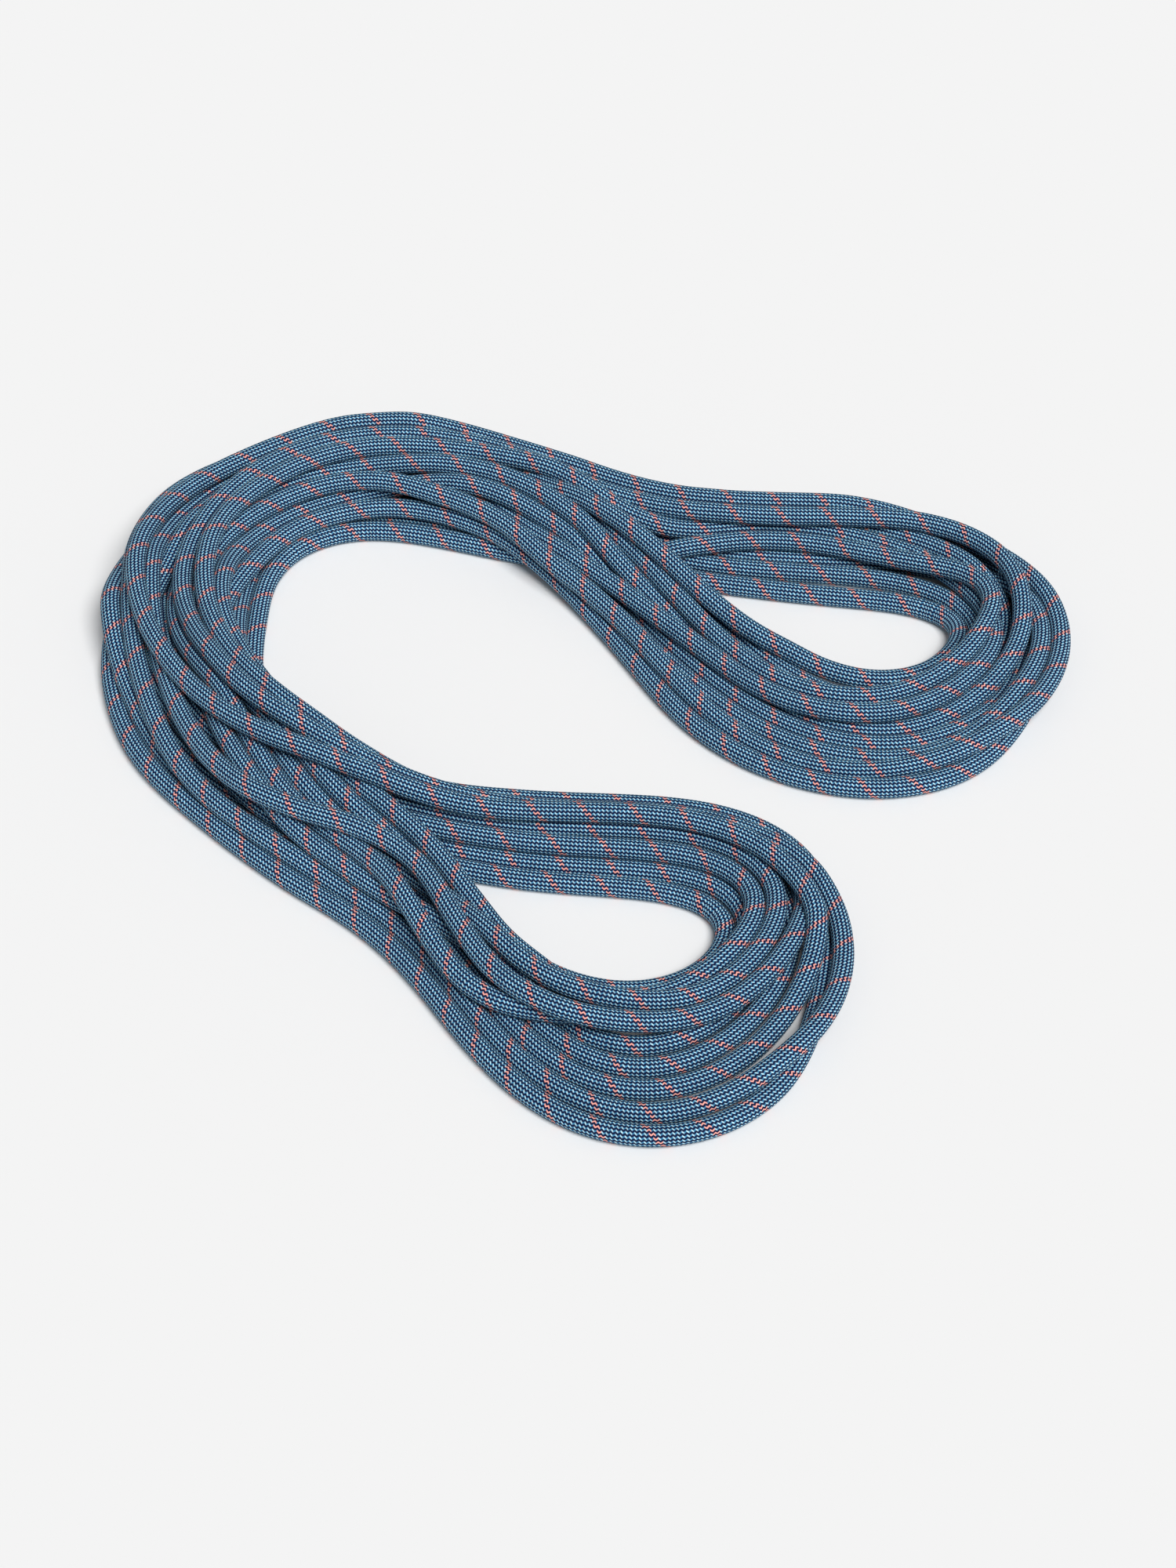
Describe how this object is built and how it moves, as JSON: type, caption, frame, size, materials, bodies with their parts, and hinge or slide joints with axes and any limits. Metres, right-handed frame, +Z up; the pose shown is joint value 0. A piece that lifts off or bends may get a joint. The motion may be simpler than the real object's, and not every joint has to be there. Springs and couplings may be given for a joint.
{
  "type": "dynamic climbing rope",
  "caption": "Kernmantle climbing rope laid out as a C-shaped hank with an open loop at each end and two sleeved rope ends.",
  "frame": {"origin": "on the ground under the middle of the hank's box", "axes": "+Z up from the ground the hank lies on, +X from the closed bend of the C towards the two loops, +Y towards the upper arm, where the rope starts"},
  "size_m": [0.4676, 0.4631, 0.0355],
  "materials": {
    "sheath_braid": "braided nylon, light blue and navy yarns with one coral marker yarn",
    "core_yarn": "twisted undyed nylon",
    "marker_tape": "thin woven tape, no lettering",
    "melted_end": "melted and hardened nylon",
    "end_sleeve": "heat-shrunk sleeve, plain"
  },
  "bodies": {
    "root": {"rope_lap_01": "sheath_braid", "rope_lap_02": "sheath_braid", "rope_lap_03": "sheath_braid", "rope_lap_04": "sheath_braid", "rope_lap_05": "sheath_braid", "rope_lap_06": "sheath_braid", "rope_lap_07": "sheath_braid", "rope_lap_08": "sheath_braid", "rope_lap_09": "sheath_braid", "rope_lap_10": "sheath_braid", "rope_tail_lap": "sheath_braid", "start_sheath_end": "sheath_braid", "start_core_strands": "core_yarn", "start_marker_tape": "marker_tape", "start_melted_tip": "melted_end", "start_end_sleeve": "end_sleeve", "tail_sheath_end": "sheath_braid", "tail_core_strands": "core_yarn", "tail_marker_tape": "marker_tape", "tail_melted_tip": "melted_end", "tail_end_sleeve": "end_sleeve"}
  },
  "joints": []
}
